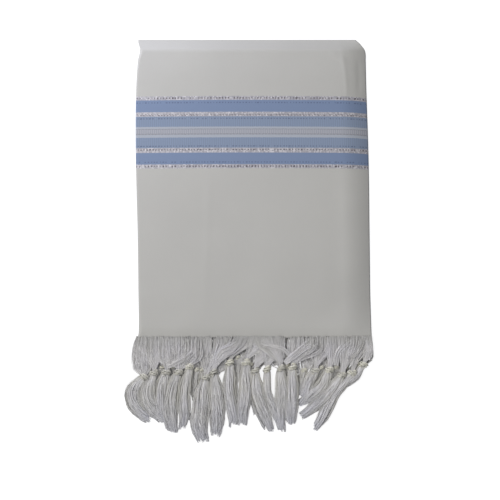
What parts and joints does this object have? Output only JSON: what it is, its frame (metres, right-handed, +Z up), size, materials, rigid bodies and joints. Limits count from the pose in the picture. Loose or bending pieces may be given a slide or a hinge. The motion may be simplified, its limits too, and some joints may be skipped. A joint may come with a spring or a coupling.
{
  "type": "folded tallit prayer shawl",
  "caption": "Ivory prayer shawl with blue and silver stripes, folded flat into a rectangle, with knotted fringe along its lower edge.",
  "frame": {"origin": "middle of the folded pile's flat underside, in the plane it rests on", "axes": "+X across the fold to the selvage side, +Y towards the top fold and away from the fringe, +Z up"},
  "size_m": [0.3142, 0.5297, 0.0172],
  "materials": {
    "striped_cloth": "fine plain weave in ivory, with a woven band of blue and silver stripes, slightly satiny",
    "plain_cloth": "fine plain weave in ivory, matte, with the same striped band on the panel under the front",
    "fringe_threads": "soft loose twisted threads with a faint sheen"
  },
  "bodies": {
    "root": {"outer_cloth": "striped_cloth", "inner_folds": "plain_cloth", "fringe_upper": "fringe_threads", "fringe_lower": "fringe_threads"}
  },
  "joints": []
}
